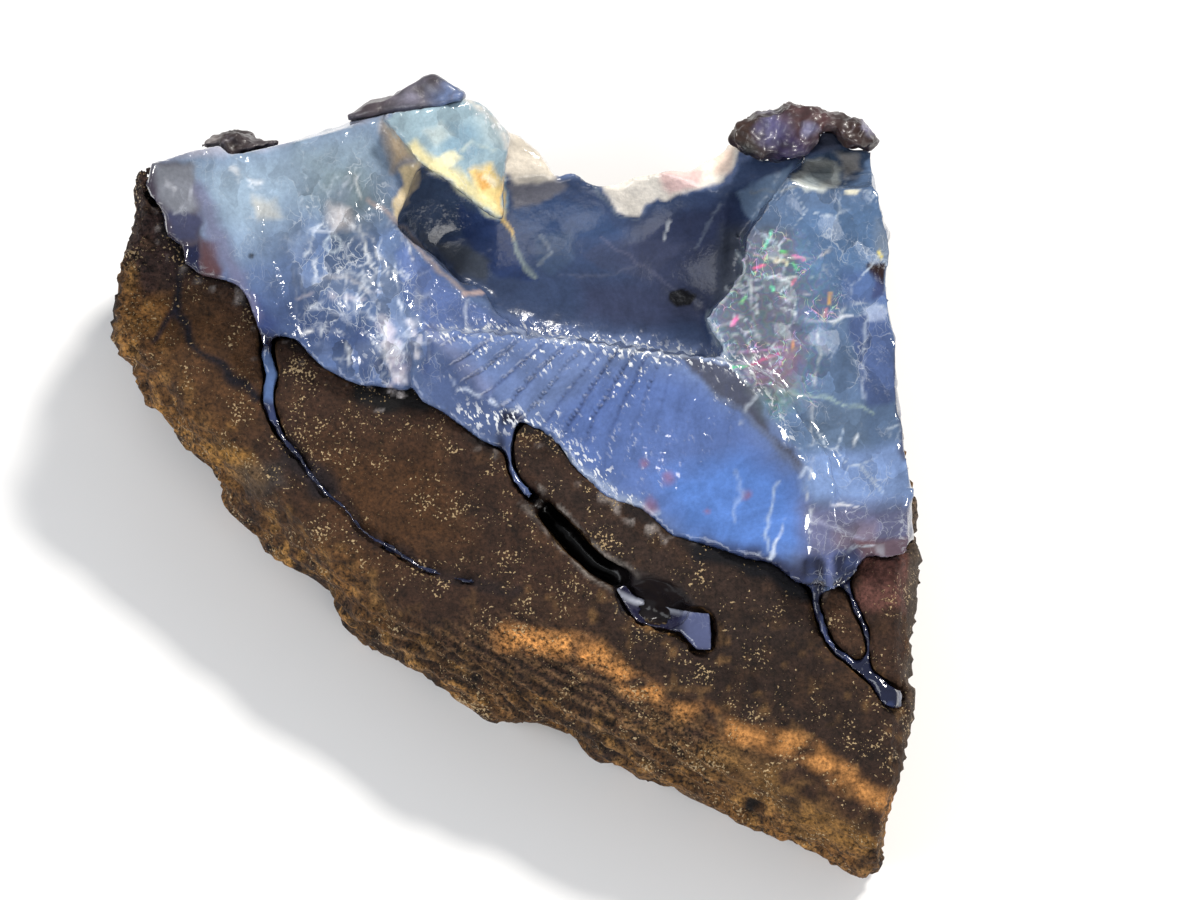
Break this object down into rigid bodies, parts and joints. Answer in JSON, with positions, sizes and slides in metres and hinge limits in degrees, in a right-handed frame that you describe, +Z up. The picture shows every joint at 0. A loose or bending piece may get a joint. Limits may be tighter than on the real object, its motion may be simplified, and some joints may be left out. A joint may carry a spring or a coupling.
{
  "type": "rough boulder opal",
  "caption": "Broken chunk of sandy ironstone with a thick glassy opal seam, hollowed by a bowl-shaped break, that lies on a flat underside.",
  "frame": {"origin": "middle of the bounding box in X and Y, on the flat underside", "axes": "+Z up from the table, -Y towards the low worn edge that the broken face slopes down to, +X towards the opal's tall end"},
  "size_m": [0.0802, 0.0855, 0.0385],
  "materials": {
    "ironstone": "matte",
    "opal": "polished",
    "potch": "gloss",
    "crust": "satin"
  },
  "bodies": {
    "root": {"ironstone_matrix": "ironstone", "opal_seam": "opal", "pocket_opal": "potch", "left_knob": "crust", "rear_wedge": "crust", "right_knob": "crust"}
  },
  "joints": []
}
